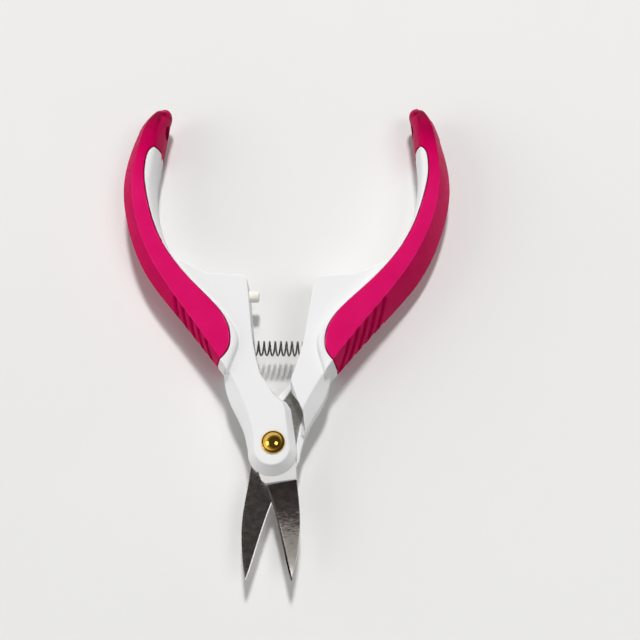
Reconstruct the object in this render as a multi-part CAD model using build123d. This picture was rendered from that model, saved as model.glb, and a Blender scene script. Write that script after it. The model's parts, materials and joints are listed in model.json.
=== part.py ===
from build123d import *
import os
from math import atan2, copysign, cos, degrees, hypot, radians, sin

# Spring-loaded pointed snips, in millimetres, lying flat with the blades toward -Y and the handles toward +Y.
# They are drawn about the pivot: the rivet axis is Z and z = 0 is the plane where the two blades slide.
# One half is drawn as the left handle, whose plate lies on top of the joint and whose blade crosses to the
# right. The other half is the same moulding, grip and blade, turned over about the Y axis.
# At the end everything moves so that the origin is at the middle of the footprint, on the table.

# Thicknesses, measured from the sliding plane
HANDLE_HALF = 6.25          # half the thickness of a handle
WEB_HALF = 4.2              # half the thickness of a web, and the height of the pivot plate
STEEL = 1.5                 # blade and tang
RUN = 0.05                  # half the running gap between the two blades
TANG_TOP = RUN + STEEL
OVERCUT = 1.0               # how far a cutter runs past the faces it opens

# Handle outline where it is widest: up the outer side, round the tip, and back down the inner side
PARTING = 1.9               # height of that widest line
OUTER_MID = [(-13.2, 17.6), (-27.3, 34.8), (-35.6, 45.6), (-41.5, 59.5), (-43.7, 72.0), (-42.2, 84.0), (-39.9, 91.0),
             (-38.0, 94.6)]
TIP_MID = (-35.3, 96.9)
INNER_MID = [(-33.1, 93.4), (-34.2, 84.0), (-35.0, 74.0), (-33.2, 61.0), (-29.4, 51.8), (-20.2, 40.3),
             (-11.0, 29.6), (-9.6, 25.6), (-10.3, 22.0), (-11.8, 17.0)]

# The same outline at the top and bottom faces, where the outer side has stepped in to a crease
OUTER_TOP = [(-12.3, 18.4), (-19.4, 28.4), (-26.5, 37.8), (-34.2, 49.6), (-38.5, 60.0), (-40.5, 72.0), (-39.6, 83.0),
             (-38.2, 89.5), (-37.0, 92.8)]
TIP_TOP = (-35.3, 95.0)
INNER_TOP = [(-34.2, 92.5), (-35.3, 84.0), (-36.1, 74.0), (-34.4, 61.0), (-30.4, 52.4), (-20.9, 40.7),
             (-11.3, 29.8), (-9.8, 25.6), (-10.5, 22.0), (-11.9, 17.2)]

# Soft grip: the line that parts it from the white core, seen from above, and its thickness over the core
GRIP_LINE = [(-13.2, 17.6), (-13.8, 21.8), (-11.7, 25.2), (-12.9, 30.9), (-22.3, 42.0), (-31.7, 54.4),
             (-36.5, 67.0), (-37.5, 75.0), (-36.3, 81.2), (-32.5, 84.8)]
GRIP_BEYOND = [(-32.5, 105.0), (-52.0, 105.0), (-52.0, 17.0)]
GRIP_SKIN = 1.6
CORE_DEPTH = 3.0            # how far the grip's hollow opens past the core's inner face
CORE_STOP = -2              # the core ends short of the last two points of the outer side

# Finger grooves on the outer faces of the grip
GROOVES = 5
GROOVE_FIRST = (-18.0, 24.2)
GROOVE_LAST = (-27.2, 35.6)
GROOVE_WIDE = 1.3
GROOVE_DEEP = 2.4
GROOVE_SHARE = 0.66         # part of the face's height that a groove crosses
GROOVE_LEAN = 28.0
FACE_STEP = 2.2             # how far a face steps in between its widest line and its crease

# Lanyard hole through each tip, with a low rim round it on the outer side
HOLE_AT = (-37.5, 89.6)
HOLE_R = 2.0
HOLE_TURN = 176.0
HOLE_REACH = 8.0
RIM_R = 2.8
RIM_REACH = 3.9             # from the middle of the hole to the face of the rim

# Outline of the web, neck and pivot plate
PLATE_END = [(-6.2, -1.7), (-0.3, -7.6), (5.6, -1.7)]
PLATE_SIDE = [(3.7, 9.1), (2.6, 10.8), (0.1, 12.5), (-4.0, 17.4)]
WEB_EDGE = [(-4.0, 17.4), (-6.0, 24.8), (-7.3, 33.6), (-8.7, 43.4)]
WEB_TOP = [(-9.5, 44.2), (-18.7, 44.6), (-26.0, 48.2)]
WEB_IN_CORE = [(-28.5, 47.5), (-21.5, 38.5), (-15.5, 31.0), (-13.0, 26.0), (-12.6, 21.0)]
NECK_SIDE = [(-13.2, 17.6), (-12.0, 12.3), (-9.3, 7.0), (-7.0, 1.6), (-6.2, -1.7)]

# The same outline at the faces, where the plate's rim and the neck's outer side are bevelled in
PLATE_END_TOP = [(-4.4, -1.4), (-0.3, -5.4), (3.9, -1.4)]
PLATE_SIDE_TOP = [(2.4, 8.4), (1.8, 9.9), (-0.3, 11.8), (-4.0, 17.4)]
NECK_SIDE_TOP = [(-11.9, 18.4), (-8.2, 11.7), (-6.0, 6.5), (-4.7, 1.6), (-4.4, -1.4)]

# The layer below the sliding plane stops at this wall, which leaves room for the other half's plate
WALL = [(-3.8, 17.6), (-3.7, 15.6), (-5.5, 10.6), (-7.1, 7.6), (-10.3, 1.6)]
WALL_BEYOND = [(-14.0, -10.0), (9.0, -10.0), (9.0, 17.6)]

# Ground part of the blade: edge, spine and spine thickness at each station, from the heel to the point
BLADE = [((-1.6, -9.5), (5.7, -8.2), 1.40), ((0.3, -14.4), (6.4, -13.3), 1.35), ((2.0, -20.0), (6.85, -19.2), 1.30),
         ((3.6, -26.0), (6.4, -25.5), 1.05), ((4.7, -30.0), (5.75, -29.8), 0.70), ((5.2, -31.6), (5.4, -31.7), 0.40)]
EDGE_LAND = 0.12
TANG_OUTER = [(-1.6, -9.5), (-2.7, -8.4), (-4.4, -3.6), (-5.2, 2.0), (-6.4, 8.0), (-9.6, 16.5), (-9.9, 20.6)]
TANG_TOP_ARC = (-8.8, 22.0)
TANG_INNER = [(-7.4, 20.4), (-3.6, 14.6), (-0.6, 10.4), (4.0, 4.2), (5.1, -1.7), (5.7, -8.2)]
ANCHOR_HOLES = [(-7.0, 13.4), (-8.4, 19.0)]
ANCHOR_R = 1.1

# Rivet, its ring washers, and the bush that the upper half turns on
SHANK_R = 1.4
BUSH_R = 2.0
BUSH_CLEAR = 0.05
RING_R = 2.85
RING = 0.45
RING_LIFT = 0.05
DOME_R = 2.5
DOME_RISE = 1.5

# Return spring between the webs, in a blind socket at each end
SPRING_Y = 25.6
SPRING_R = 1.75
WIRE_R = 0.23
PITCH = 1.4
TURNS = 11
SOCKET_R = 2.35
SOCKET_END = 8.3

# Closing stop: a peg on the left web
STOP_Y = 39.8
STOP_R = 1.45
STOP_END = -5.7
STOP_ROOT = -11.8


def lines(points):
    """Straight edges through the points."""
    return [Line(a, b) for a, b in zip(points[:-1], points[1:])]


def prism(edges, low, high):
    """Upright solid between two heights from a closed run of edges in plan."""
    face = make_face(Wire(edges))
    return extrude(face.moved(Location((0, 0, low))), amount=high - low, dir=(0, 0, 1))


def rod(radius, start, end):
    """Round bar between two points."""
    axis = Vector(end) - Vector(start)
    face = Plane(origin=start, z_dir=axis) * Circle(radius)
    return extrude(face, amount=axis.length, dir=axis)


def turned_over(shape):
    """The other half's copy of a piece."""
    return shape.rotate(Axis.Y, 180)


def inset(points, depth):
    """Move each point of an outer side inward, square to the line through its neighbours."""
    moved = []
    for i, (x, y) in enumerate(points):
        before = points[max(i - 1, 0)]
        after = points[min(i + 1, len(points) - 1)]
        run = after[0] - before[0]
        rise = after[1] - before[1]
        size = hypot(run, rise)
        moved.append((x + depth * rise / size, y - depth * run / size))
    return moved


def handle_section(outer, tip, inner, z):
    """Plan section of a handle at one height."""
    edges = [Spline(outer), ThreePointArc(outer[-1], tip, inner[0]), Spline(inner), Line(inner[-1], outer[0])]
    return make_face(Wire(edges)).moved(Location((0, 0, z)))


def handle_envelope():
    """A whole handle, core and grip together: widest at the parting height, creased at its faces."""
    middle = handle_section(OUTER_MID, TIP_MID, INNER_MID, PARTING)
    faces = [handle_section(OUTER_TOP, TIP_TOP, INNER_TOP, z) for z in (HANDLE_HALF, -HANDLE_HALF)]
    return loft([middle, faces[0]], ruled=True) + loft([faces[1], middle], ruled=True)


def core_cutter():
    """Everything that the grip wraps: a section smaller than the handle, open on the inner side."""
    deep = [(x + CORE_DEPTH, y - CORE_DEPTH) for x, y in INNER_MID[1:]]
    solids = []
    for sign in (1, -1):
        sections = []
        for outer, z in ((OUTER_MID, PARTING), (OUTER_TOP, sign * (HANDLE_HALF - GRIP_SKIN))):
            side = inset(outer, GRIP_SKIN)[:CORE_STOP]
            edges = [Spline(side), Line(side[-1], deep[0]), Spline(deep), Line(deep[-1], side[0])]
            sections.append(make_face(Wire(edges)).moved(Location((0, 0, z))))
        solids.append(loft(sections, ruled=True))
    return solids[0] + solids[1]


def grip_region():
    """Plan region of the handle that the soft grip covers."""
    beyond = lines([GRIP_LINE[-1]] + GRIP_BEYOND + [GRIP_LINE[0]])
    return prism([Line(GRIP_LINE[0], GRIP_LINE[1]), Spline(GRIP_LINE[1:])] + beyond, -HANDLE_HALF, HANDLE_HALF)


def groove_cutters():
    """Slanted finger grooves on the two outer faces, above and below the widest line."""
    along = Vector(*GROOVE_LAST) - Vector(*GROOVE_FIRST)
    turn = degrees(atan2(along.Y, along.X))
    cutters = []
    for face in (HANDLE_HALF, -HANDLE_HALF):
        span = face - PARTING
        lean = copysign(GROOVE_LEAN, span)
        tilt = -degrees(atan2(FACE_STEP, span)) if span > 0 else degrees(atan2(FACE_STEP, -span))
        groove = Box(GROOVE_WIDE, GROOVE_DEEP, GROOVE_SHARE * abs(span))
        groove = groove.rotate(Axis.Y, lean).rotate(Axis.X, tilt).rotate(Axis.Z, turn)
        for i in range(GROOVES):
            place = Vector(*GROOVE_FIRST) + along * (i / (GROOVES - 1))
            cutters.append(groove.moved(Location((place.X, place.Y, PARTING + span / 2))))
    return cutters


def hole_axis(reach):
    """Point on the lanyard hole's axis, outward from its middle."""
    return (HOLE_AT[0] + reach * cos(radians(HOLE_TURN)), HOLE_AT[1] + reach * sin(radians(HOLE_TURN)), 0)


def make_grip(envelope):
    grip = (envelope & grip_region()) - core_cutter()
    rim = rod(RIM_R, hole_axis(0), hole_axis(RIM_REACH))
    grip = grip + rim - rod(HOLE_R, hole_axis(-HOLE_REACH), hole_axis(HOLE_REACH))
    return grip - groove_cutters()


def web_outline(plate_end, plate_side, neck_side):
    """Plan outline of the web, neck and plate, as a closed run of edges."""
    plate = [ThreePointArc(*plate_end)] + lines([plate_end[-1]] + plate_side)
    web = [Spline(WEB_EDGE)] + lines([WEB_EDGE[-1]] + WEB_TOP + WEB_IN_CORE + [neck_side[0]])
    return plate + web + [Spline(neck_side)]


def web_block():
    """Web, neck and plate at full thickness: upright round the middle, bevelled at both faces."""
    middle = web_outline(PLATE_END, PLATE_SIDE, NECK_SIDE)
    faces = web_outline(PLATE_END_TOP, PLATE_SIDE_TOP, NECK_SIDE_TOP)
    block = prism(middle, -TANG_TOP, TANG_TOP)
    for sign in (1, -1):
        wide = make_face(Wire(middle)).moved(Location((0, 0, sign * TANG_TOP)))
        narrow = make_face(Wire(faces)).moved(Location((0, 0, sign * WEB_HALF)))
        block = block + loft([wide, narrow] if sign > 0 else [narrow, wide], ruled=True)
    return block


def lower_cutter():
    """The space below the sliding plane that the other half's plate and tang sweep through."""
    edges = lines(WALL + WALL_BEYOND + [WALL[0]])
    return prism(edges, -WEB_HALF - OVERCUT, RUN)


def make_blade():
    """Ground blade lofted from heel to point, and the flat tang behind it."""
    sections = []
    for edge, spine, thick in BLADE:
        corners = [(*edge, RUN), (*spine, RUN), (*spine, RUN + thick), (*edge, RUN + EDGE_LAND)]
        sections.append(Face(Wire.make_polygon(corners, close=True)))
    ground = loft(sections)
    outer = [Spline(TANG_OUTER[1:]), ThreePointArc(TANG_OUTER[-1], TANG_TOP_ARC, TANG_INNER[0])]
    outline = lines(TANG_OUTER[:2]) + outer + [Spline(TANG_INNER), Line(TANG_INNER[-1], TANG_OUTER[0])]
    tang = prism(outline, RUN, TANG_TOP)
    for x, y in ANCHOR_HOLES:
        tang = tang - rod(ANCHOR_R, (x, y, RUN - OVERCUT), (x, y, TANG_TOP + OVERCUT))
    return ground + tang


def make_body(envelope, grip, blade):
    """One white moulding: the handle core, web, neck and plate, moulded round the tang."""
    body = (envelope - envelope.intersect(grip_region())) + (envelope & core_cutter())
    body = body + (web_block() - lower_cutter())
    body = body - blade - grip
    body = body - rod(SOCKET_R, (-SOCKET_END, SPRING_Y, 0), (0, SPRING_Y, 0))
    return body


def bored(piece, clearance):
    """Open a piece for the bush."""
    return piece - rod(BUSH_R + clearance, (0, 0, -WEB_HALF - OVERCUT), (0, 0, WEB_HALF + OVERCUT))


def ring_washer():
    ring = rod(RING_R, (0, 0, WEB_HALF + RING_LIFT), (0, 0, WEB_HALF + RING_LIFT + RING))
    return ring - rod(SHANK_R, (0, 0, 0), (0, 0, 2 * WEB_HALF))


def rivet_dome():
    """Head of the rivet: a low round cap standing on the ring washer."""
    foot = WEB_HALF + RING_LIFT + RING
    ball = (DOME_R ** 2 + DOME_RISE ** 2) / (2 * DOME_RISE)
    cap = Sphere(ball).moved(Location((0, 0, foot + DOME_RISE - ball)))
    return cap & rod(DOME_R + OVERCUT, (0, 0, foot), (0, 0, foot + 2 * DOME_RISE))


def make_spring():
    """Open coil along X, centred between the webs."""
    length = PITCH * TURNS
    path = Helix(PITCH, length, SPRING_R)
    wire = Plane(origin=path @ 0, z_dir=path % 0) * Circle(WIRE_R)
    coil = sweep(wire, path=path)
    return coil.moved(Location((0, 0, -length / 2))).rotate(Axis.Y, 90).moved(Location((0, SPRING_Y, 0)))


def build():
    envelope = handle_envelope()
    grip = make_grip(envelope)
    blade = make_blade()
    body = make_body(envelope, grip, blade)
    stop = rod(STOP_R, (STOP_ROOT, STOP_Y, 0), (STOP_END, STOP_Y, 0))
    shank_end = WEB_HALF + RING_LIFT + RING
    shank = rod(SHANK_R, (0, 0, -shank_end), (0, 0, shank_end))
    bush = rod(BUSH_R, (0, 0, -WEB_HALF), (0, 0, WEB_HALF))
    return {
        "upper_body": bored(body, BUSH_CLEAR) - stop,
        "lower_body": turned_over(bored(body, 0)),
        "upper_grip": grip,
        "lower_grip": turned_over(grip),
        "upper_blade": bored(blade, BUSH_CLEAR),
        "lower_blade": turned_over(bored(blade, 0)),
        "rivet_post": rivet_dome() + shank,
        "rivet_cap": turned_over(rivet_dome()),
        "upper_washer": ring_washer(),
        "lower_washer": turned_over(ring_washer()),
        "pivot_bush": bush - shank,
        "return_spring": make_spring(),
        "closing_stop": stop,
    }


os.makedirs("parts", exist_ok=True)
nodes = build()
footprint = Compound(list(nodes.values())).bounding_box()
shift = Location((-footprint.center().X, -footprint.center().Y, -footprint.min.Z))
for name, shape in nodes.items():
    export_step(shape.moved(shift), f"parts/{name}.step")
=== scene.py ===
import json
from math import cos, hypot, pi, radians, sin, sqrt, tau

import bmesh
import bpy
import numpy as np
from mathutils import Matrix, Vector


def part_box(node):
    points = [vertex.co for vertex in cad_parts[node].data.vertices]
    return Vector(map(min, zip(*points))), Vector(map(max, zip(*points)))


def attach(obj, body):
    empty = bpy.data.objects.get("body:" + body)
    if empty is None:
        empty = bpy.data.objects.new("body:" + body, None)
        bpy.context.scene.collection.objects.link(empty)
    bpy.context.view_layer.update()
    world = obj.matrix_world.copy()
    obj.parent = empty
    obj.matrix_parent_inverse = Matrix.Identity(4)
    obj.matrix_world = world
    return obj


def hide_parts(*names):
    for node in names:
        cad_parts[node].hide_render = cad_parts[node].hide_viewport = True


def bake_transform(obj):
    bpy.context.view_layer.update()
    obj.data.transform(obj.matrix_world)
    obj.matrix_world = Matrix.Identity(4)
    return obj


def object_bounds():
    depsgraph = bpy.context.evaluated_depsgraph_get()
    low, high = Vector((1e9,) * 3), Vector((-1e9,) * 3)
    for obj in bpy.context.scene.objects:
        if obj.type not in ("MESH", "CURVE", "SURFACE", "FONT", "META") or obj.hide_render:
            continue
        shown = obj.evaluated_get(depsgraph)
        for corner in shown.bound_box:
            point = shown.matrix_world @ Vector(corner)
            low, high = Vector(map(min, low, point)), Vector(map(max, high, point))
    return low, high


# Detailed looks for the snips. Shapes are drawn in millimetres about the pivot, with z = 0 at the plane
# where the blades slide, and go into the frame in metres. One half is drawn, the one whose plate lies on
# top of the joint: its handle is on the left and its blade crosses to the right. The other half is the
# same pieces turned over about Y.

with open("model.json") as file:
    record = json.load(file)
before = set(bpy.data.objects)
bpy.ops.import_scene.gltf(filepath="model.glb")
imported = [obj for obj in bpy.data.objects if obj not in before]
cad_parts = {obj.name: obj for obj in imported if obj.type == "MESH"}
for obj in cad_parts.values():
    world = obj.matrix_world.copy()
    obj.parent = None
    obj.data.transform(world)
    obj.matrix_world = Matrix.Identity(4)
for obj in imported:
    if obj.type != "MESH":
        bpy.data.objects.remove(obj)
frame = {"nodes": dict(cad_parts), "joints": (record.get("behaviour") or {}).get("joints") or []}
cad_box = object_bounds()
MM = 0.001
PIVOT = Vector(frame["joints"][0]["pos_m"])
HALVES = {"upper": "upper_half", "lower": "lower_half"}

# Heights above the sliding plane
CREASE_TOP = 5.85           # crease between the top and the outer face of a handle
RAIL_TOP = 6.05             # crease between the top and the inner face
COLLAR_TOP = 5.3            # the same crease where the core runs round the nose of the grip
COLLAR_RUN = 14.0           # length over which it climbs from one to the other
WEB_TOP_Z = 4.2
WEB_SIDE_Z = 1.55           # the upright part of the web's sides ends here
STEEL = 1.5                 # thickness of the blade blank
RUN = 0.05                  # running clearance between the halves
PARTING = 1.9               # height of the widest line of the outer face

# Handle outline where it is widest, and at its creases
OUTER_MID = [(-13.2, 17.6), (-27.3, 34.8), (-35.6, 45.6), (-41.5, 59.5), (-43.7, 72.0), (-42.2, 84.0),
             (-39.9, 91.0), (-37.4, 95.6)]
TIP_MID = (-35.3, 96.9)
INNER_MID = [(-33.1, 93.4), (-34.2, 84.0), (-35.0, 74.0), (-33.2, 61.0), (-29.4, 51.8), (-20.2, 40.3),
             (-11.0, 29.6), (-9.6, 25.6), (-10.3, 22.0), (-11.8, 17.0)]
OUTER_TOP = [(-12.3, 18.4), (-19.4, 28.4), (-26.5, 37.8), (-34.2, 49.6), (-38.5, 60.0), (-40.5, 72.0),
             (-39.6, 83.0), (-38.3, 89.5), (-36.5, 94.0)]
TIP_TOP = (-35.3, 95.0)
INNER_TOP = [(-34.2, 92.5), (-35.3, 84.0), (-36.1, 74.0), (-34.4, 61.0), (-30.4, 52.4), (-20.9, 40.7),
             (-11.3, 29.8), (-9.8, 25.6), (-10.5, 22.0), (-11.9, 17.2)]
ALONG = 460                 # stations along a handle
ROUND = 14                  # stations round its tip
TIP_RUN = 13.0              # the handle thins over this length
TIP_END = 0.34              # to this share of its height

# Seam between grip and core, seen from above, then the oval end of the core on the inner face
SEAM = [(-16.5, 18.4), (-13.7, 20.8), (-12.0, 23.4), (-11.7, 25.6), (-12.9, 30.9), (-22.3, 42.0),
        (-31.7, 54.4), (-36.4, 67.0), (-37.6, 74.0), (-37.4, 78.4), (-36.6, 80.7), (-35.3, 81.6),
        (-33.0, 81.8)]
SEAM_GAP = 0.2
MOST_SHARE = 0.96           # the seam stays this far out on the top face, ahead of the oval
LAP_RUN = 2.4               # length over which the grip climbs up the inner face to close the oval
LAP_START, LAP_REACH = 1.02, 0.98  # share where the lap meets the top face, and the rest of its climb
LAP_PROUD = 0.12
LAP_SUNK = 0.5
LIP = 0.34                  # round of the grip's edge at the seam
CROWN = 0.22                # rise of the top face in its middle
TIP_CROWN = 0.45            # extra roundness of the faces at the tip
FACE_BULGE = 0.14           # swell of the outer face
CREASE_ROUND = 0.8          # rounding between the top and the outer face
EDGE_ROUND = 1.3            # rounding between the top and the inner face

# Finger grooves
GROOVES = 5
GROOVE_FIRST = 9.5          # along the outer side from the nose, at the crease
GROOVE_STEP = 3.55
GROOVE_HALF = 0.72          # half width
GROOVE_DEPTH = 2.0
GROOVE_TOP = 0.35           # plain strip left under the crease
GROOVE_FADE = 0.9           # height over which a groove reaches its depth
LEAN_NARROW = 1.25          # run along the handle for each millimetre of height, on the upper outer face
LEAN_WIDE = 0.90            # and on the lower one

# Lanyard hole
HOLE_AT = (-37.5, 89.6, 0)
HOLE_AXIS = Vector((cos(radians(176)), sin(radians(176)), 0))
HOLE_R = 2.0
HOLE_REACH = 8.0            # half length of the cutter
RIM_R = 2.4                 # raised lip round the mouth on the outer face
RIM_HALF = 0.55
RIM_PROUD = 0.16

# Web, neck and plate outlines at mid height; names with END_TOP or SIDE_TOP are those of the faces
PLATE_END = [(-6.2, -1.7), (-0.3, -7.6), (5.6, -1.7)]
PLATE_SIDE = [(3.7, 9.1), (2.6, 10.8), (0.1, 12.5), (-4.0, 17.4)]
WEB_EDGE = [(-4.0, 17.4), (-6.0, 24.8), (-7.3, 33.6), (-8.7, 43.4)]
WEB_TOP = [(-9.5, 44.2), (-18.7, 44.6), (-26.0, 48.2)]
WEB_IN_CORE = [(-28.5, 47.5), (-21.5, 38.5), (-15.5, 31.0), (-13.6, 26.0), (-13.4, 21.0)]
NECK_SIDE = [(-13.2, 17.6), (-12.0, 12.3), (-9.3, 7.0), (-7.0, 1.6), (-6.2, -1.7)]
PLATE_END_TOP = [(-4.4, -1.4), (-0.3, -5.4), (3.9, -1.4)]
PLATE_SIDE_TOP = [(2.4, 8.4), (1.8, 9.9), (-0.3, 11.8), (-4.0, 17.4)]
NECK_SIDE_TOP = [(-11.9, 18.4), (-8.2, 11.7), (-6.0, 6.5), (-4.7, 1.6), (-4.4, -1.4)]
# Wall of the space for the other half, at the far face and at the sliding plane
WALL = [(-3.8, 17.6), (-3.7, 15.6), (-5.5, 10.6), (-7.1, 7.6), (-10.3, 1.6)]
WALL_FOOT = [(-3.2, 17.6), (-3.55, 13.0), (-6.2, 9.6), (-6.7, 7.3), (-6.15, 3.2)]
WALL_BEYOND = [(-14.5, -10.0), (9.0, -10.0), (9.0, 17.6)]

# Blade: cutting edge and spine from the heel to the point, spine thickness, and the tang behind
EDGE = [(-1.6, -9.5), (0.3, -14.4), (2.0, -20.0), (3.6, -26.0), (4.7, -30.0), (5.25, -31.65)]
SPINE = [(5.7, -8.2), (6.4, -13.3), (6.85, -19.2), (6.4, -25.5), (5.75, -29.8), (5.35, -31.7)]
SPINE_THICK = [1.40, 1.35, 1.30, 1.05, 0.70, 0.40]
TANG_OUTER = [(-2.7, -8.4), (-4.4, -3.6), (-5.2, 2.0), (-6.4, 8.0), (-9.6, 16.5), (-9.9, 20.6)]
TANG_END = (-8.8, 22.0)
TANG_INNER = [(-7.4, 20.4), (-3.6, 14.6), (-0.6, 10.4), (4.0, 4.2), (5.1, -1.7), (5.7, -8.2)]

EDGE_BEVEL = 0.45           # width of the edge bevel
EDGE_THICK = 0.18           # height of the cutting edge over the clearance
BLADE_HOLLOW = 0.08         # hollow of the inner face
SPINE_BREAK = 0.18          # broken edge along the spine
SPINE_FOOT = 0.12           # height where the spine's upright side starts
BEVEL_SHARE = 0.24          # part of the blade's thickness that the edge bevel climbs
MICRO = 0.26                # small back bevel along the cutting edge
MICRO_RISE = 0.13           # and its rise
BLADE_STEPS = 70            # stations along the blade
TANG_STEPS = 40             # and along the tang
HEEL_MARGIN = 0.08          # the ricasso starts this far behind the heel

# Material slots of a blade
GROUND, FLAT, BEVEL, RICASSO, TANG = range(5)

# Rivet, washers, spring and stop
RING_R = 2.85
RING_IN = 1.4
RING_FOOT = WEB_TOP_Z + 0.05
RING = 0.45                 # thickness
DOME_R = 2.3
DOME_RISE = 1.15
SPRING_Y = 25.6
SPRING_R = 1.75
WIRE_R = 0.23
PITCH = 1.4
TURNS = 11
COIL_STEPS = 40             # stations for each turn
WIRE_SIDES = 10
STOP_R = 1.45
STOP_Y = 39.8
STOP_ENDS = (-11.8, -5.7)

# Melting of the white mouldings
VOXEL = 0.17
MELT_ROUNDS = 5             # smoothing steps
MELT_KEEP = 0.5             # share of the faces that is kept
TANG_ROOM = 0.12            # clearance of the slot in the moulding round the tang

# Stage
LIT = Vector((0, 0.04, 0))  # the lights face this point, taken from the pivot in metres
LIGHT_AWAY = 2.2            # distance of each light from it
FOCAL = 1060 / 640          # focal length as a share of the picture's width


# ---------------------------------------------------------------- curves

def spline(points, steps):
    """Points along a natural cubic spline through the given ones, evenly spaced."""
    p = np.array(points, float)
    knots = np.concatenate([[0], np.cumsum(np.linalg.norm(np.diff(p, axis=0), axis=1))])
    gaps = np.diff(knots)
    system = np.eye(len(p))
    right = np.zeros_like(p)
    for i in range(1, len(p) - 1):
        system[i, i - 1:i + 2] = gaps[i - 1], 2 * (gaps[i - 1] + gaps[i]), gaps[i]
        right[i] = 6 * ((p[i + 1] - p[i]) / gaps[i] - (p[i] - p[i - 1]) / gaps[i - 1])
    bend = np.linalg.solve(system, right)
    result = []
    for u in np.linspace(0, knots[-1], steps + 1):
        i = min(int(np.searchsorted(knots, u, side="right")) - 1, len(p) - 2)
        a = (knots[i + 1] - u) / gaps[i]
        b = 1 - a
        bow = ((a ** 3 - a) * bend[i] + (b ** 3 - b) * bend[i + 1]) * gaps[i] ** 2 / 6
        result.append(tuple(a * p[i] + b * p[i + 1] + bow))
    return result


def arc(start, middle, end, steps):
    """Points along the circular arc through three points."""
    a, b, c = (np.array(q, float) for q in (start, middle, end))
    turn = 2 * np.array([b - a, c - a])
    centre = np.linalg.solve(turn, [b @ b - a @ a, c @ c - a @ a])
    angles = [np.arctan2(*(q - centre)[::-1]) for q in (a, b, c)]
    sweep = (angles[2] - angles[0]) % tau
    if (angles[1] - angles[0]) % tau > sweep:
        sweep -= tau
    radius = np.linalg.norm(a - centre)
    turns = angles[0] + sweep * np.linspace(0, 1, steps + 1)
    return [(centre[0] + radius * cos(t), centre[1] + radius * sin(t)) for t in turns]


def side_of_handle(side, tip, other):
    """One side of the handle from the nose to the middle of its round tip."""
    steps = 60
    whole = arc(side[-1], tip, other, steps)
    reach = min(range(steps), key=lambda k: hypot(whole[k][0] - tip[0], whole[k][1] - tip[1]))
    return spline(side, ALONG) + arc(side[-1], whole[reach // 2], tip, ROUND)[1:]


# ---------------------------------------------------------------- meshes

def to_frame(point, turned):
    """Millimetres about the pivot to metres in the frame, turned over for the other half."""
    x, y, z = point
    if turned:
        x, z = -x, -z
    return PIVOT + MM * Vector((x, y, z))


def finish_mesh(bm, name, material, smooth=40):
    """A linked object from a bmesh."""
    bmesh.ops.recalc_face_normals(bm, faces=bm.faces)
    mesh = bpy.data.meshes.new(name)
    bm.to_mesh(mesh)
    bm.free()
    obj = bpy.data.objects.new(name, mesh)
    bpy.context.scene.collection.objects.link(obj)
    if material:
        mesh.materials.append(material)
    shade(obj, smooth)
    return obj


def shade(obj, angle):
    """Smooth shading that keeps edges sharper than the angle."""
    obj.data.shade_smooth()
    obj.data.set_sharp_from_angle(angle=radians(angle))


def add_loops(bm, rows, turned, capped):
    """Faces between closed loops of points, with a face over each end if capped."""
    made = [[bm.verts.new(to_frame(p, turned)) for p in row] for row in rows]
    count = len(rows[0])
    for low, high in zip(made, made[1:]):
        for j in range(count):
            bm.faces.new((low[j], low[(j + 1) % count], high[(j + 1) % count], high[j]))
    if capped:
        bm.faces.new(made[0])
        bm.faces.new(made[-1])
    bmesh.ops.remove_doubles(bm, verts=bm.verts, dist=0.004 * MM)
    bmesh.ops.dissolve_degenerate(bm, edges=bm.edges, dist=0.001 * MM)


def loops_object(rows, name, material, turned=False, smooth=40, capped=True):
    """A linked object from closed loops of points."""
    bm = bmesh.new()
    add_loops(bm, rows, turned, capped)
    return finish_mesh(bm, name, material, smooth)


def lathe_rows(profile, base, axis, steps):
    """Loops round an axis, one for each (radius, distance along the axis)."""
    axis = Vector(axis).normalized()
    across = axis.orthogonal().normalized()
    other = axis.cross(across)
    rows = []
    for radius, along in profile:
        row = []
        for k in range(steps):
            spoke = across * cos(tau * k / steps) + other * sin(tau * k / steps)
            row.append(Vector(base) + axis * along + spoke * radius)
        rows.append(row)
    return rows


def boolean(obj, cutter, operation="DIFFERENCE"):
    """Apply a boolean to obj and delete the cutter."""
    change = obj.modifiers.new("cut", "BOOLEAN")
    change.operation = operation
    change.object = cutter
    change.solver = "MANIFOLD"
    apply_modifiers(obj)
    bpy.data.objects.remove(cutter)


def apply_modifiers(obj):
    """Make the modified shape the object's own mesh."""
    bpy.context.view_layer.update()
    evaluated = obj.evaluated_get(bpy.context.evaluated_depsgraph_get())
    mesh = bpy.data.meshes.new_from_object(evaluated)
    obj.modifiers.clear()
    old = obj.data
    obj.data = mesh
    bpy.data.meshes.remove(old)


def joined(target, others):
    """Several closed shells in one object."""
    bm = bmesh.new()
    bm.from_mesh(target.data)
    for other in others:
        bm.from_mesh(other.data)
        bpy.data.objects.remove(other)
    bm.to_mesh(target.data)
    bm.free()


def moulded(obj):
    """Melt the shells of an object into one skin with small fillets."""
    remesh = obj.modifiers.new("melt", "REMESH")
    remesh.mode = "VOXEL"
    remesh.voxel_size = VOXEL * MM
    soften = obj.modifiers.new("soften", "SMOOTH")
    soften.factor = 0.5
    soften.iterations = MELT_ROUNDS
    thin = obj.modifiers.new("thin", "DECIMATE")
    thin.ratio = MELT_KEEP
    apply_modifiers(obj)


# ---------------------------------------------------------------- handle skin

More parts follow.
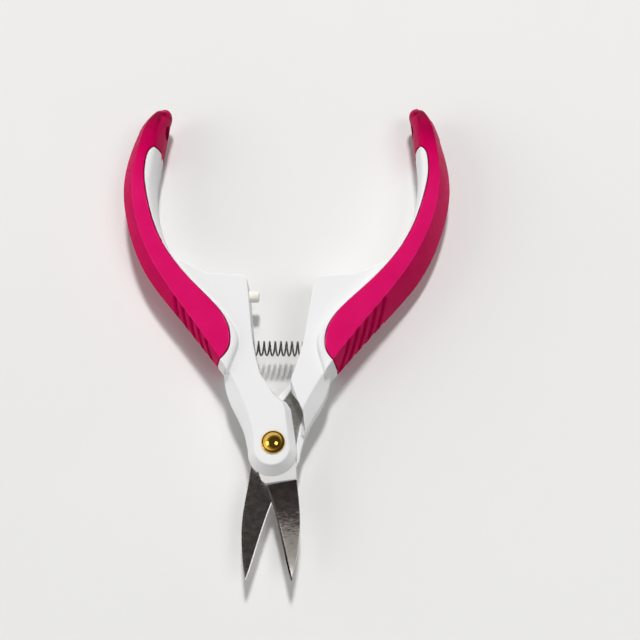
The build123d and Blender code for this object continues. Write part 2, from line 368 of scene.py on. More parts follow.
class Handle:
    """Plan curves and heights of a handle, station by station from the nose to the tip."""

    def __init__(self):
        self.mid = side_of_handle(OUTER_MID, TIP_MID, INNER_MID[0])
        self.top = side_of_handle(OUTER_TOP, TIP_TOP, INNER_TOP[0])
        self.inner_mid = side_of_handle(INNER_MID[::-1], TIP_MID, OUTER_MID[-1])
        self.inner_top = side_of_handle(INNER_TOP[::-1], TIP_TOP, OUTER_TOP[-1])
        self.count = len(self.mid)
        self.length = [0.0]
        for a, b in zip(self.top, self.top[1:]):
            self.length.append(self.length[-1] + hypot(b[0] - a[0], b[1] - a[1]))
        self.near_tip = [max(0.0, 1 - (self.length[-1] - run) / TIP_RUN) for run in self.length]
        self.height = [sqrt(1 - (1 - TIP_END ** 2) * near ** 2) for near in self.near_tip]
        self.crease = [CREASE_TOP * height for height in self.height]
        self.parting = [PARTING * (1 - near ** 2) for near in self.near_tip]
        self.edge = [lerp(COLLAR_TOP, RAIL_TOP, min(1, run / COLLAR_RUN)) * height
                     for run, height in zip(self.length, self.height)]


def crossing(a, b, path):
    """Share of the way from a to b where the path crosses it, or None."""
    run = (b[0] - a[0], b[1] - a[1])
    for p, q in zip(path, path[1:]):
        step = (q[0] - p[0], q[1] - p[1])
        det = run[0] * step[1] - run[1] * step[0]
        if abs(det) < 1e-9:
            continue
        dx, dy = p[0] - a[0], p[1] - a[1]
        share = (dx * step[1] - dy * step[0]) / det
        along = (dx * run[1] - dy * run[0]) / det
        if 0 <= along <= 1 and -0.3 <= share <= 1.3:
            return max(share, 0.0)
    return None


def offset(path, gap):
    """A plan curve moved sideways, to the right of its direction."""
    moved = []
    for i, (x, y) in enumerate(path):
        ax, ay = path[max(i - 1, 0)]
        bx, by = path[min(i + 1, len(path) - 1)]
        size = hypot(bx - ax, by - ay)
        moved.append((x + gap * (by - ay) / size, y - gap * (bx - ax) / size))
    return moved


def seam_shares(handle, gap):
    """How far across the top face the seam lies at each station: 0 to 1, then 2 past the core's oval end."""
    path = offset(spline(SEAM, 200), gap)
    shares = []
    for i in range(handle.count):
        share = crossing(handle.top[i], handle.inner_top[i], path)
        late = i > handle.count // 2
        if late and (shares[-1] == 2 or share is None or share >= 1):
            shares.append(2.0)
        else:
            shares.append(min(share or 0.0, 1.0 if late else MOST_SHARE))
    return shares


def lerp(a, b, t):
    """The value a share t of the way from a to b."""
    return a + (b - a) * t


def arch(t):
    """A flat-topped rise and fall from 0 to 1 and back."""
    return 1 - (2 * t - 1) ** 2


def face_points(handle, i, sign, crown):
    """The top (or bottom) face and the inner face of one station as functions of a share from 0 to 2."""
    top = Vector((*handle.top[i], sign * handle.crease[i]))
    edge = Vector((*handle.inner_top[i], sign * handle.edge[i]))
    middle = Vector((*handle.inner_mid[i], 0))
    width = max((edge - top).length, 1e-6)
    before = min(0.45, EDGE_ROUND / width)
    after = min(0.45, EDGE_ROUND / handle.edge[i])

    def flat(share):
        if share <= 1:
            p = top.lerp(edge, share)
            p.z += sign * crown * arch(share) * min(1, width / 4)
            return p
        down = share - 1
        p = edge.lerp(middle, sin(down * pi / 2) ** 0.9)
        p.z = edge.z * (1 - down)
        return p

    def point(share):
        t = (share - 1 + before) / (before + after)
        if not 0 < t < 1:
            return flat(share)
        return flat(1 - before) * (1 - t) ** 2 + edge * 2 * t * (1 - t) + flat(1 + after) * t ** 2
    return point


def grooved(handle, i, point, face_top, lean):
    """How deep a finger groove is at a point of an outer face."""
    along = handle.length[i] + lean * abs(face_top - point.z)
    near = (along - GROOVE_FIRST) / GROOVE_STEP
    k = min(max(round(near), 0), GROOVES - 1)
    away = abs(near - k) * GROOVE_STEP / GROOVE_HALF
    if away >= 1:
        return 0.0
    return GROOVE_DEPTH * (1 - away ** 3)


def outer_points(handle, i, sign, steps):
    """Points down one outer face, from just under the crease to the widest line."""
    crease = Vector((*handle.top[i], sign * handle.crease[i]))
    widest = Vector((*handle.mid[i], handle.parting[i]))
    fall = abs(widest.z - crease.z)
    lean = LEAN_NARROW if sign > 0 else LEAN_WIDE
    before, after = handle.mid[max(i - 1, 0)], handle.mid[min(i + 1, handle.count - 1)]
    square = Vector((-(after[1] - before[1]), after[0] - before[0], 0)).normalized()
    bulge = FACE_BULGE + TIP_CROWN * handle.near_tip[i] * (1 - handle.near_tip[i] ** 2)
    result = []
    for j in range(1, steps):
        t = j / steps
        p = crease.lerp(widest, t)
        p += square * bulge * arch(t)
        start = min(1, max(0, (t * fall - GROOVE_TOP) / GROOVE_FADE))
        depth = grooved(handle, i, p, sign * handle.crease[i], lean)
        p += square * (rim_rise(p) - depth * start ** 0.5)
        result.append(p)
    return result


def rounded(a, corner, b, radius, steps=3):
    """Points of a small fillet at a corner."""
    before = (a - corner)
    after = (b - corner)
    r1 = min(radius, before.length * 0.45)
    r2 = min(radius, after.length * 0.45)
    p = corner + before.normalized() * r1
    q = corner + after.normalized() * r2
    result = []
    for k in range(steps + 1):
        t = k / steps
        result.append(p * (1 - t) ** 2 + corner * 2 * t * (1 - t) + q * t ** 2)
    return result


def crease_corner(handle, i, sign, before, after):
    """Small round at a crease."""
    return rounded(before, Vector((*handle.top[i], sign * handle.crease[i])), after, CREASE_ROUND)


def grip_row(handle, i, share):
    """One closed loop round the grip."""
    halves = []
    crown = CROWN + TIP_CROWN * handle.near_tip[i] * (1 - handle.near_tip[i] ** 2)
    width = hypot(handle.inner_top[i][0] - handle.top[i][0], handle.inner_top[i][1] - handle.top[i][1])
    for sign in (1, -1):
        point = face_points(handle, i, sign, crown)
        seam = point(share)
        toward = (point(share - 0.02) - seam).normalized()
        inward = Vector((0, 0, -sign))
        if share > 1:
            inward = Vector((handle.mid[i][0] - seam.x, handle.mid[i][1] - seam.y, 0)).normalized()
        room = 0.0 if share >= 2 else min(LIP, 0.3 * share * width)
        centre = seam + (toward + inward) * room
        lip = [centre - (toward * sin(f) + inward * cos(f)) * room for f in (pi / 2, pi / 3, pi / 6)]
        start = min(share, 1)
        if share > 1:
            inner = [point(s) for s in np.linspace(share, 1, 12)[1:]]
        else:
            inner = [seam + toward * room] * 11
        top = [point(s) for s in np.linspace(start, 0, 21)[1:-1]]
        down = outer_points(handle, i, sign, 18)
        halves.append(lip + inner + top + crease_corner(handle, i, sign, top[-1], down[0]) + down)
    return halves[0] + halves[1][::-1]


def cut_hole(grip, turned):
    """Lanyard hole through the tip."""
    rod = [(0.0, -HOLE_REACH), (HOLE_R, -HOLE_REACH), (HOLE_R, HOLE_REACH), (0.0, HOLE_REACH)]
    rows = lathe_rows(rod, HOLE_AT, HOLE_AXIS, 48)
    boolean(grip, loops_object(rows, "cutter", None, turned, capped=False))


def rim_rise(point):
    """How far the lip round the lanyard hole stands out of the outer face at a point."""
    away = (point - Vector(HOLE_AT)).cross(HOLE_AXIS).length
    return RIM_PROUD * max(0.0, 1 - ((away - RIM_R) / RIM_HALF) ** 2)


def lap_row(handle, i, share):
    """One closed loop of the strip of grip that closes the oval over the core's inner face."""
    loop = []
    for sign in (1, -1):
        point = face_points(handle, i, sign, 0.0)
        loop.append([point(s) for s in np.linspace(share, 2, 12)])
    surface = loop[0] + loop[1][-2::-1]
    (mx, my), (ix, iy) = handle.mid[i], handle.inner_mid[i]
    deep = Vector((mx - ix, my - iy, 0)).normalized()
    return [p - deep * LAP_PROUD for p in surface] + [p + deep * LAP_SUNK for p in surface[::-1]]


def make_lap(turned):
    """Strip of grip that closes the oval end of the core on the inner face."""
    handle = Handle()
    shares = seam_shares(handle, 0.0)
    end = shares.index(2.0) + 2
    rows = []
    for i in range(end):
        climb = 1 - (handle.length[end] - handle.length[i]) / LAP_RUN
        if climb >= 0:
            rows.append(lap_row(handle, i, LAP_START + LAP_REACH * sqrt(1 - min(1, climb) ** 2)))
    return loops_object(rows, "lap", None, turned)


def make_grip(name, material, turned):
    """Magenta soft grip with its finger grooves and lanyard hole."""
    handle = Handle()
    shares = seam_shares(handle, -SEAM_GAP / 2)
    rows = [grip_row(handle, i, share) for i, share in enumerate(shares) if share > 0]
    grip = loops_object(rows, name, material, turned, smooth=50)
    boolean(grip, make_lap(turned), "UNION")
    cut_hole(grip, turned)
    shade(grip, angle=50)
    return grip


def rail_row(handle, i, share):
    """One closed loop round the white core. Ahead of the grip's nose its outer side is a face as well."""
    halves = []
    for sign in (1, -1):
        point = face_points(handle, i, sign, 0.0)
        inner = [point(s) for s in np.linspace(share, 2, 24)]
        if share > 0:
            foot = Vector((inner[0].x, inner[0].y, 0))
            back = [inner[0].lerp(foot, t) for t in np.linspace(0, 1, 18)[1:-1]]
        else:
            back = outer_points(handle, i, sign, 17)
        halves.append(back[::-1] + inner)
    return halves[0] + halves[1][-2::-1]


def make_rail(turned):
    """White core of the handle, as a shell that the moulding is melted with."""
    handle = Handle()
    rows = [rail_row(handle, i, share) for i, share in enumerate(seam_shares(handle, SEAM_GAP / 2))]
    return loops_object(rows, "rail", None, turned)


# ---------------------------------------------------------------- body

def straight(path, steps):
    """Evenly stepped points along straight runs, without the last one."""
    points = []
    for a, b in zip(path, path[1:]):
        points += [tuple(lerp(np.array(a), np.array(b), t)) for t in np.linspace(0, 1, steps + 1)[:-1]]
    return points


def web_outline(end, side, neck):
    """Plan outline of the web, neck and plate as evenly stepped points."""
    points = arc(*end, 40)[:-1]
    points += straight([end[-1]] + side, 8)
    points += spline(WEB_EDGE, 30)[:-1]
    points += straight([WEB_EDGE[-1]] + WEB_TOP + WEB_IN_CORE + [neck[0]], 4)
    points += spline(neck, 30)[:-1]
    return points


def prism_rows(points, low, high):
    """Loops of an upright prism."""
    return [[(x, y, z) for x, y in points] for z in (low, high)]


def make_web(turned):
    """Web, neck and plate, bevelled at both faces."""
    middle = web_outline(PLATE_END, PLATE_SIDE, NECK_SIDE)
    faces = web_outline(PLATE_END_TOP, PLATE_SIDE_TOP, NECK_SIDE_TOP)
    rows = [[(x, y, z) for x, y in outline] for outline, z in
            ((faces, -WEB_TOP_Z), (middle, -WEB_SIDE_Z), (middle, WEB_SIDE_Z), (faces, WEB_TOP_Z))]
    return loops_object(rows, "web", None, turned)


def make_body(name, material, turned):
    """White moulding: web and plate, cut for the other half and the tang, melted into the core."""
    web = make_web(turned)
    walls = ((WALL, -WEB_TOP_Z - 1), (WALL, -WEB_TOP_Z), (WALL_FOOT, RUN))
    rows = [[(x, y, z) for x, y in wall + WALL_BEYOND] for wall, z in walls]
    boolean(web, loops_object(rows, "cutter", None, turned))
    tang = loops_object(prism_rows(tang_outline(TANG_ROOM), RUN - 1, RUN + STEEL), "cutter", None, turned)
    boolean(web, tang)
    joined(web, [make_rail(turned)])
    moulded(web)
    web.name = name
    web.data.materials.append(material)
    shade(web, angle=60)
    return web


# ---------------------------------------------------------------- blade

def tang_outline(grow=0.0):
    """Plan outline of the tang and the heel of the blade."""
    outer = spline(TANG_OUTER, 30)
    cap = arc(TANG_OUTER[-1], TANG_END, TANG_INNER[0], 8)[1:-1]
    inner = spline(TANG_INNER, 30)
    outline = [EDGE[0]] + outer + cap + inner
    return offset(outline, -grow) if grow else outline


def blade_row(edge, spine, high_edge, high_spine, hollow):
    """One closed loop round the blade: inner face, spine, ground face, edge bevel and cutting edge."""
    edge, spine = Vector((*edge, 0)), Vector((*spine, 0))
    width = max((spine - edge).length, 1e-6)
    chamfer = min(SPINE_BREAK, 0.2 * width)
    micro = min(MICRO, 0.2 * width) / width
    bevel = min(EDGE_BEVEL, 0.3 * width) / width

    def at(t, z):
        p = edge.lerp(spine, t)
        p.z = z
        return p

    inside = 1 - chamfer / width
    bottom = [at(0, RUN + MICRO_RISE)] + [at(t, RUN + hollow * arch(t)) for t in np.linspace(micro, 1, 15)]
    rise = [at(1, RUN + SPINE_FOOT), at(1, high_spine - chamfer), at(inside, high_spine)]
    foot = high_edge + BEVEL_SHARE * (high_spine - high_edge)
    shares = np.linspace(0, 1, 13)[::-1]
    top = [at(lerp(bevel, inside, u), lerp(foot, high_spine, u)) for u in shares[1:]]
    return bottom + rise + top + [at(0, high_edge)]


def blade_rows():
    """Loops from the point of the blade back to the end of the tang."""
    edges = spline(EDGE, BLADE_STEPS)
    spines = spline(SPINE, BLADE_STEPS)
    thick = [point[1] for point in spline([(6.0 * i, t) for i, t in enumerate(SPINE_THICK)], BLADE_STEPS)]
    rows = [blade_row(edge, spine, RUN + EDGE_THICK, RUN + t, BLADE_HOLLOW)
            for edge, spine, t in zip(edges, spines, thick)]
    rows.reverse()
    full = RUN + STEEL
    (edge_x, edge_y), (spine_x, spine_y) = EDGE[0], SPINE[0]
    outer = [(edge_x - 0.05, edge_y + 0.2)] + spline(TANG_OUTER, TANG_STEPS)
    back = [(spine_x - 0.02, spine_y + 0.6)] + TANG_INNER[-2::-1]
    inner = [(spine_x, spine_y + 0.2)] + spline(back, TANG_STEPS)
    cap = arc(TANG_OUTER[-1], TANG_END, TANG_INNER[0], 12)
    outer += cap[1:6]
    inner += cap[-2:-7:-1]
    return rows + [blade_row(a, b, full - 0.02, full, 0.0) for a, b in zip(outer, inner)]


def make_blade(name, materials, turned):
    """Ground blade and tang, with a finish for each of its faces. Faces start as GROUND."""
    blade = loops_object(blade_rows(), name, None, turned, smooth=20)
    for material in materials:
        blade.data.materials.append(material)
    edge = spline(EDGE, BLADE_STEPS)
    for face in blade.data.polygons:
        middle = (Vector(face.center) - PIVOT) / MM
        x, up = (-middle.x, -face.normal.z) if turned else (middle.x, face.normal.z)
        from_edge = min(hypot(x - ex, middle.y - ey) for ex, ey in edge)
        heel = lerp(EDGE[0][1], SPINE[0][1], (x - EDGE[0][0]) / (SPINE[0][0] - EDGE[0][0]))
        if middle.y > heel + HEEL_MARGIN:
            under = TANG if middle.y > 0 else FLAT
            face.material_index = RICASSO if up > -0.5 else under
        elif up < -0.5:
            # The small back bevel along the cutting edge gets the near-white ricasso finish: a painted
            # highlight along the edge, on a real facet.
            face.material_index = RICASSO if from_edge < MICRO else FLAT
        # The edge bevel gets the near-black finish, which is painted shade.
        elif from_edge < EDGE_BEVEL:
            face.material_index = BEVEL
    return blade


# ---------------------------------------------------------------- small parts

def fillet_profile(points, radius, steps=4):
    """A lathe profile with its inside corners rounded."""
    result = [points[0]]
    for a, corner, b in zip(points, points[1:], points[2:]):
        a, corner, b = Vector((*a, 0)), Vector((*corner, 0)), Vector((*b, 0))
        result += [(p.x, p.y) for p in rounded(a, corner, b, radius, steps)]
    return result + [points[-1]]


def make_ring(name, material, turned):
    """Ring washer with rolled edges."""
    foot, top = RING_FOOT, RING_FOOT + RING
    loop = [(RING_IN, foot), (RING_R - 0.1, foot), (RING_R, foot + 0.1), (RING_R, top - 0.24),
            (RING_R - 0.08, top - 0.1), (RING_R - 0.24, top), (DOME_R + 0.1, top - 0.04),
            (RING_IN, top - 0.04), (RING_IN, foot)]
    rows = lathe_rows(loop, (0, 0, 0), (0, 0, 1), 72)
    return loops_object(rows, name, material, turned, smooth=35, capped=False)


def make_dome(name, material, turned, shank):
    """Domed rivet head, with the shank under it on the post."""
    foot = RING_FOOT + RING - 0.03
    ball = (DOME_R ** 2 + DOME_RISE ** 2) / (2 * DOME_RISE)
    profile = []
    for k in range(19):
        radius = DOME_R * (1 - k / 18)
        rise = sqrt(ball ** 2 - radius ** 2) - (ball - DOME_RISE)
        profile.append((max(radius, 0.0), foot + rise))
    bottom = -WEB_TOP_Z if shank else foot - 0.3
    profile[0] = (DOME_R, foot + 0.06)
    post = RING_IN - 0.02
    profile = [(0.0, bottom), (post, bottom), (post, foot), (DOME_R - 0.06, foot)] + profile
    rows = lathe_rows(profile, (0, 0, 0), (0, 0, 1), 72)
    return loops_object(rows, name, material, turned, smooth=35, capped=False)


def make_spring(name, material):
    """Open coil between the two webs."""
    rows = []
    steps = TURNS * COIL_STEPS
    length = PITCH * TURNS
    round_wire = [tau * j / WIRE_SIDES for j in range(WIRE_SIDES)]
    for k in range(steps + 1):
        angle = tau * k / COIL_STEPS + pi / 2
        x = -length / 2 + length * k / steps
        out = Vector((0, cos(angle), sin(angle)))
        centre = Vector((x, SPRING_Y, 0)) + out * SPRING_R
        heading = Vector((PITCH / tau, -SPRING_R * sin(angle), SPRING_R * cos(angle))).normalized()
        side = heading.cross(out).normalized()
        rows.append([centre + (out * cos(a) + side * sin(a)) * WIRE_R for a in round_wire])
    return loops_object(rows, name, material, smooth=60)


def make_stop(name, material):
    """Closing stop: a peg with a broken edge and a small dimple in its end."""
    start, end = STOP_ENDS
    length = end - start
    profile = [(0.0, 0.0), (STOP_R, 0.0), (STOP_R, length - 0.25), (STOP_R - 0.25, length),
               (0.5, length - 0.02), (0.35, length - 0.25), (0.0, length - 0.3)]
    rows = lathe_rows(fillet_profile(profile, 0.12), (start, STOP_Y, 0), (1, 0, 0), 56)
    return loops_object(rows, name, material, smooth=35, capped=False)


# ---------------------------------------------------------------- materials

class Nodes:
    """Short way to build a material's node tree."""

    def __init__(self, name):
        self.material = bpy.data.materials.new(name)
        self.material.use_nodes = True
        self.tree = self.material.node_tree
        self.shader = self.tree.nodes["Principled BSDF"]
        self.coords = self.tree.nodes.new("ShaderNodeTexCoord").outputs["Object"]

    def link(self, a, b):
        self.tree.links.new(a, b)

    def mapped(self, scale=(1, 1, 1), turn=(0, 0, 0)):
        node = self.tree.nodes.new("ShaderNodeMapping")
        node.inputs["Scale"].default_value = scale
        node.inputs["Rotation"].default_value = turn
        self.link(self.coords, node.inputs["Vector"])
        return node.outputs["Vector"]

    def noise(self, scale, detail=3, rough=0.5, vector=None):
        node = self.tree.nodes.new("ShaderNodeTexNoise")
        node.inputs["Scale"].default_value = scale
        node.inputs["Detail"].default_value = detail
        node.inputs["Roughness"].default_value = rough
        self.link(vector or self.coords, node.inputs["Vector"])
        return node.outputs["Fac"]

    def ramp(self, value, stops):
        node = self.tree.nodes.new("ShaderNodeValToRGB")
        ramp = node.color_ramp
        while len(ramp.elements) < len(stops):
            ramp.elements.new(0.5)
        for element, (place, colour) in zip(ramp.elements, stops):
            element.position = place
            element.color = (*colour, 1)
        self.link(value, node.inputs["Fac"])
        return node.outputs["Color"]

    def span(self, value, low, high, start=0.3, end=0.7):
        node = self.tree.nodes.new("ShaderNodeMapRange")
        node.inputs["From Min"].default_value = start
        node.inputs["From Max"].default_value = end
        node.inputs["To Min"].default_value = low
        node.inputs["To Max"].default_value = high
        self.link(value, node.inputs["Value"])
        return node.outputs["Result"]

    def math(self, first, second, operation="ADD"):
        node = self.tree.nodes.new("ShaderNodeMath")
        node.operation = operation
        self.link(first, node.inputs[0])
        self.link(second, node.inputs[1])
        return node.outputs["Value"]

    def split(self, vector, axis):
        node = self.tree.nodes.new("ShaderNodeSeparateXYZ")
        self.link(vector, node.inputs["Vector"])
        return node.outputs[axis]

    def flatness(self):
        """1 on faces that point straight up or down, less on sloping ones, 0 on upright ones."""
        normal = self.tree.nodes.new("ShaderNodeTexCoord").outputs["Normal"]
        node = self.tree.nodes.new("ShaderNodeMath")
        node.operation = "ABSOLUTE"
        self.link(self.split(normal, "Z"), node.inputs[0])
        return node.outputs["Value"]

    def bump(self, height, strength, distance):
        node = self.tree.nodes.new("ShaderNodeBump")
        node.inputs["Strength"].default_value = strength
        node.inputs["Distance"].default_value = distance
        self.link(height, node.inputs["Height"])
        self.link(node.outputs["Normal"], self.shader.inputs["Normal"])

    def set(self, **values):
        for name, value in values.items():
            self.shader.inputs[name.replace("_", " ")].default_value = value

    def drive(self, name, output):
        self.link(output, self.shader.inputs[name])


def white_plastic():
    """Glossy white moulding with a faint mottle."""
    m = Nodes("white_plastic")
    cloud = m.noise(220, 3)
    m.drive("Base Color", m.ramp(cloud, [(0.3, (0.91, 0.895, 0.88)), (0.7, (0.94, 0.925, 0.91))]))
    m.drive("Roughness", m.span(m.noise(900, 4), 0.20, 0.34))
    m.set(Specular_IOR_Level=0.5)
    m.bump(m.noise(2600, 2), 0.05, 0.0002)
    return m.material


def magenta_grip():
    """Satin soft plastic with painted light: a painted sheen on its flat faces, a painted highlight along
    its creases, and painted shade toward the tips, where the painted highlight turns into painted shade.
    """
    m = Nodes("magenta_grip")
    cloud = m.noise(160, 4)
    along = m.split(m.coords, "Y")
    # Painted shade: the tone drops toward the tips.
    base = m.span(along, 0.5, 0.30, PIVOT.y + 0.068, PIVOT.y + 0.097)
    # Painted shade: near the tips the painted sheen turns negative, so the top faces and the crease there go
    # darker than the inner face.
    sheen_to_tip_shade = m.span(along, 1.0, -0.6, PIVOT.y + 0.070, PIVOT.y + 0.092)
    # Painted sheen and painted highlight: faces lying flat get lighter, and the crease between the top and
    # the outer face gets a brighter line, by the slope of the normal.
    painted_sheen = m.ramp(m.flatness(), [(0.74, (0.0,) * 3), (0.84, (0.62,) * 3), (0.92, (0.34,) * 3),
                                 (1.0, (0.27,) * 3)])
    tone = m.math(m.math(m.span(cloud, -0.06, 0.06), base), m.math(painted_sheen, sheen_to_tip_shade, "MULTIPLY"))
    # The light end of this ramp gives the painted highlight, and the dark end gives the painted shade at the
    # tips.
    m.drive("Base Color", m.ramp(tone, [(0.1, (0.22, 0.0003, 0.028)), (0.5, (0.56, 0.0008, 0.085)),
                                        (0.82, (0.66, 0.008, 0.13)), (1.0, (0.84, 0.045, 0.24))]))
    m.drive("Roughness", m.span(m.noise(700, 4), 0.34, 0.50))
    m.set(Specular_IOR_Level=0.03)
    m.bump(m.noise(5200, 3), 0.16, 0.0002)
    return m.material


def steel(name, stops, rough, scratch, along=None, metallic=1.0):
    """Steel with fine lines across the blade over a soft cloud; the tone rises between the Ys in along, a
    painted reflection.
    """
    m = Nodes(name)
    across = m.mapped(scale=(0.14, 1.0, 1.0), turn=(0, 0, radians(-8)))
    lines = m.noise(3600, 5, 0.7, across)
    cloud = m.noise(700, 6, 0.7)
    if along:
        # Painted reflection: the tone rises between the two Ys, lighter toward the blade's point.
        rise = m.span(m.split(m.coords, "Y"), 0.0, 1.0, PIVOT.y + along[0], PIVOT.y + along[1])
        tone = m.math(m.math(m.span(lines, -0.2, 0.2), m.span(cloud, -0.05, 0.05)), rise)
    else:
        tone = m.math(m.span(lines, -0.2, 0.2), m.span(cloud, 0.35, 0.65))
    m.drive("Base Color", m.ramp(tone, stops))
    m.drive("Roughness", m.span(cloud, *rough))
    m.set(Metallic=metallic)
    m.bump(lines, scratch, 0.0002)
    return m.material


def ground_steel_painted_reflection():
    # Painted reflection: from near-black at the heel to pale at the point, for the light that the ground
    # face reflects along the blade.
    stops = [(0.10, (0.13, 0.105, 0.098)), (0.36, (0.20, 0.17, 0.16)), (0.56, (0.74, 0.67, 0.61)),
             (0.98, (0.88, 0.83, 0.77))]
    return steel("ground_steel_painted_reflection", stops, (0.32, 0.46), 0.3, (-0.0085, -0.0310))


def flat_steel():
    stops = [(0.15, (0.26, 0.235, 0.19)), (0.50, (0.46, 0.41, 0.375)), (0.90, (0.66, 0.61, 0.57))]
    return steel("flat_steel", stops, (0.20, 0.32), 0.06)


def bevel_painted_shade():
    # Near-black painted shade: the dark band along the cutting edge, which the bevel shows through what it
    # reflects.
    stops = [(0.2, (0.025, 0.02, 0.02)), (0.8, (0.06, 0.05, 0.05))]
    return steel("bevel_painted_shade", stops, (0.20, 0.30), 0.1)


def ricasso_steel():
    stops = [(0.2, (0.88, 0.87, 0.86)), (0.8, (0.97, 0.96, 0.95))]
    return steel("ricasso_steel", stops, (0.40, 0.52), 0.1, metallic=0.35)


def tang_steel():
    stops = [(0.2, (0.30, 0.29, 0.26)), (0.8, (0.62, 0.61, 0.56))]
    return steel("tang_steel", stops, (0.25, 0.40), 0.1, metallic=0.7)


def bush_steel():
    stops = [(0.3, (0.45, 0.45, 0.45)), (0.7, (0.6, 0.6, 0.6))]
    return steel("bush_steel", stops, (0.25, 0.35), 0.1)


def brass():
    """Polished gilt metal."""
    m = Nodes("gilt_brass")
    cloud = m.noise(500, 4)
    m.drive("Base Color", m.ramp(cloud, [(0.3, (0.74, 0.42, 0.06)), (0.7, (0.86, 0.54, 0.11))]))
    m.drive("Roughness", m.span(m.noise(1500, 4), 0.05, 0.13))
    m.set(Metallic=1.0)
    m.bump(m.noise(900, 3), 0.04, 0.0002)
    return m.material


def spring_steel():
    m = Nodes("spring_steel")
    cloud = m.noise(1500, 4)
    m.drive("Base Color", m.ramp(cloud, [(0.3, (0.10, 0.095, 0.09)), (0.7, (0.26, 0.25, 0.24))]))
    m.drive("Roughness", m.span(m.noise(2200, 3), 0.22, 0.4))
    m.set(Metallic=1.0)
    m.bump(cloud, 0.1, 0.0001)
    return m.material


def cream_plastic():
    m = Nodes("cream_plastic")
    cloud = m.noise(500, 4)
    m.drive("Base Color", m.ramp(cloud, [(0.3, (0.90, 0.88, 0.80)), (0.7, (0.94, 0.92, 0.85))]))
    m.drive("Roughness", m.span(m.noise(1500, 3), 0.35, 0.5))
    m.bump(m.noise(3000, 3), 0.08, 0.0002)
    return m.material


def floor_paint():
    """Plain pale floor."""
    m = Nodes("floor")
    cloud = m.noise(6, 3)
    m.drive("Base Color", m.ramp(cloud, [(0.3, (0.80, 0.795, 0.785)), (0.7, (0.82, 0.815, 0.80))]))
    m.drive("Roughness", m.span(m.noise(60, 3), 0.5, 0.6))
    return m.material


# ---------------------------------------------------------------- stage

def add_floor():
    """A plain floor at the foot of the CAD box."""
    bm = bmesh.new()
    bmesh.ops.create_grid(bm, x_segments=4, y_segments=4, size=3.0)
    floor = finish_mesh(bm, "floor", floor_paint())
    floor.location = (0, 0, cad_box[0][2])


def add_light(name, toward, size, power, shines=True):
    """A square soft light that faces the part from a direction. One that doesn't shine has no reflection."""
    light = bpy.data.lights.new(name, "AREA")
    light.shape = "SQUARE"
    light.size = size
    light.energy = power
    obj = bpy.data.objects.new(name, light)
    bpy.context.scene.collection.objects.link(obj)
    toward = Vector(toward).normalized()
    obj.location = PIVOT + LIT + toward * LIGHT_AWAY
    obj.rotation_euler = toward.to_track_quat("Z", "Y").to_euler()
    obj.visible_glossy = shines


def add_camera():
    """The camera above the blades, turned a little to the right and rolled."""
    elevation, azimuth, roll = radians(66.30), radians(7.49), radians(-6.44)
    target = PIVOT + MM * Vector((10.03, 33.53, 0))
    distance = 0.26803
    back = Vector((sin(azimuth) * cos(elevation), -cos(azimuth) * cos(elevation), sin(elevation)))
    right = Vector((cos(azimuth), sin(azimuth), 0))
    up = back.cross(right)
    turned_right = right * cos(roll) + up * sin(roll)
    turned_up = up * cos(roll) - right * sin(roll)
    camera = bpy.data.cameras.new("camera")
    camera.sensor_width = 36
    camera.lens = FOCAL * camera.sensor_width
    camera.clip_start = 0.01
    obj = bpy.data.objects.new("camera", camera)
    bpy.context.scene.collection.objects.link(obj)
    rotation = Matrix((turned_right, turned_up, back)).transposed().to_4x4()
    obj.matrix_world = Matrix.Translation(target + back * distance) @ rotation
    bpy.context.scene.camera = obj


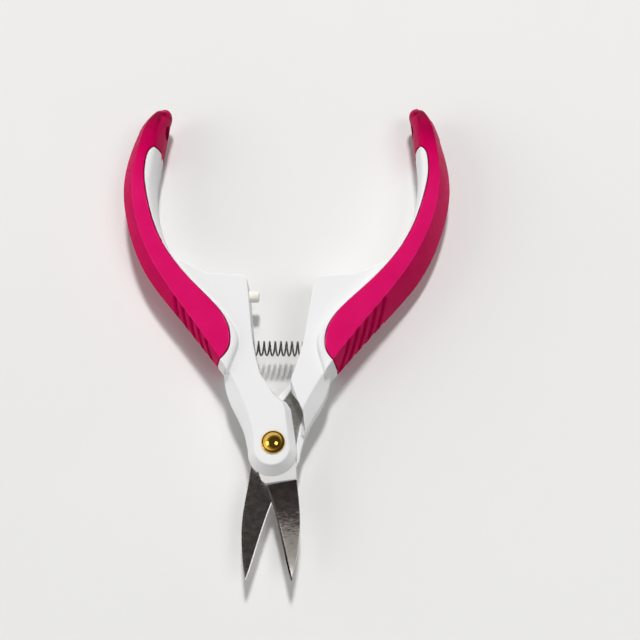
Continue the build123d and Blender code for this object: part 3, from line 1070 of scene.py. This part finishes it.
def add_world():
    """A studio that is bright round the horizon and dark overhead, and darker to the right."""
    world = bpy.data.worlds.new("studio")
    world.use_nodes = True
    nodes, links = world.node_tree.nodes, world.node_tree.links
    side = nodes.new("ShaderNodeVectorMath")
    side.operation = "DOT_PRODUCT"
    side.inputs[1].default_value = (0.30, 0.0, 1.0)
    ramp = nodes.new("ShaderNodeValToRGB")
    links.new(nodes.new("ShaderNodeTexCoord").outputs["Generated"], side.inputs[0])
    links.new(side.outputs["Value"], ramp.inputs["Fac"])
    links.new(ramp.outputs["Color"], nodes["Background"].inputs["Color"])
    ramp.color_ramp.elements.new(0.5)
    levels = ((0.04, 1.0), (0.30, 0.34), (0.58, 0.07))
    for element, (height, level) in zip(ramp.color_ramp.elements, levels):
        element.position = height
        element.color = (level, level, level, 1)
    nodes["Background"].inputs["Strength"].default_value = 1.0
    bpy.context.scene.world = world


# ---------------------------------------------------------------- assembly

def dress(piece, body, slot, *nodes):
    """Hang a finished piece on its body and hide the nodes it stands for; slot is not used."""
    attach(piece, body)
    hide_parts(*nodes)


def build():
    """Every visible piece; all but the spring and the pivot bush are hung on their bodies."""
    white = white_plastic()
    magenta = magenta_grip()
    steels = (ground_steel_painted_reflection(), flat_steel(), bevel_painted_shade(), ricasso_steel(), tang_steel())
    gold = brass()
    coil = spring_steel()
    cream = cream_plastic()
    bush = bush_steel()
    for half, body in HALVES.items():
        turned = half == "lower"
        dress(make_grip(half + "_grip_skin", magenta, turned), body, "magenta_grip", half + "_grip")
        dress(make_body(half + "_moulding", white, turned), body, "white_plastic", half + "_body")
        dress(make_blade(half + "_ground_blade", steels, turned), body, "blade_steel", half + "_blade")
        dress(make_ring(half + "_ring", gold, turned), "lower_half", "gilt_brass", half + "_washer")
    dress(make_dome("rivet_head", gold, False, True), "lower_half", "gilt_brass", "rivet_post")
    dress(make_dome("rivet_foot", gold, True, False), "lower_half", "gilt_brass", "rivet_cap")
    dress(make_stop("stop_peg", cream), "upper_half", "cream_plastic", "closing_stop")
    spring = make_spring("spring_coil", coil)
    low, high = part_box("return_spring")
    middle = (low + high) / 2
    start, end = (low.x, middle.y, middle.z), (high.x, middle.y, middle.z)
    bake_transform(spring)
    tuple(start)
    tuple(end)
    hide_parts("return_spring")
    bush_object = frame["nodes"]["pivot_bush"]
    bush_object.data.materials.clear()
    bush_object.data.materials.append(bush)


build()
add_floor()
add_world()
add_light("back_light", (0.05, 0.54, 0.84), size=0.28, power=35.5, shines=False)
add_light("left_light", (-0.82, -0.12, 0.54), size=1.2, power=9.0)
add_light("right_light", (0.50, -0.16, 0.80), size=1.0, power=10.5)
add_camera()
bpy.context.scene.view_settings.view_transform = "Standard"
